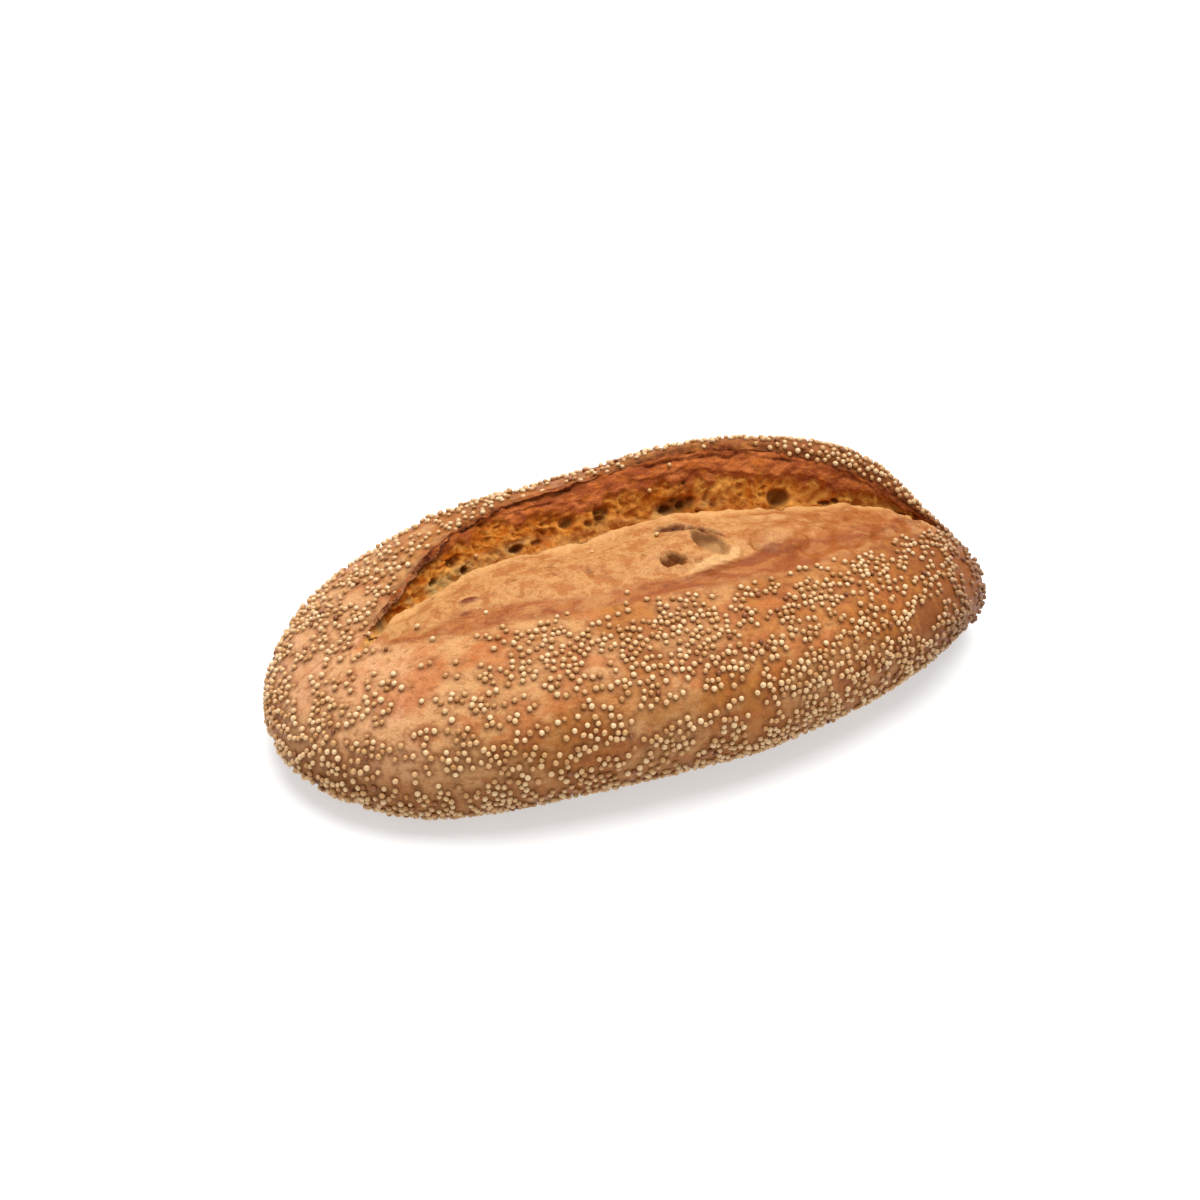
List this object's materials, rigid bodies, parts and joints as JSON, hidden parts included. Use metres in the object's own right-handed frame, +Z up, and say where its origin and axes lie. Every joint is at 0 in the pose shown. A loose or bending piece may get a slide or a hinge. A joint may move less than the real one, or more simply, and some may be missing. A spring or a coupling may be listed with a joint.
{
  "type": "quinoa bread loaf",
  "caption": "Long hearth loaf with a lengthwise score opened into a raised ear over a smooth bloom, its crust dotted with quinoa seeds.",
  "frame": {"origin": "bottom centre of the loaf's box, on the surface it rests on", "axes": "+X along the loaf towards its narrower end, -Y to the side that the score's bloom faces, +Z up"},
  "size_m": [0.2524, 0.1378, 0.0708],
  "materials": {
    "crust": "satin golden-brown baked crust with pale quinoa seeds and tan crumb in the score"
  },
  "bodies": {
    "root": {"loaf": "crust"}
  },
  "joints": []
}
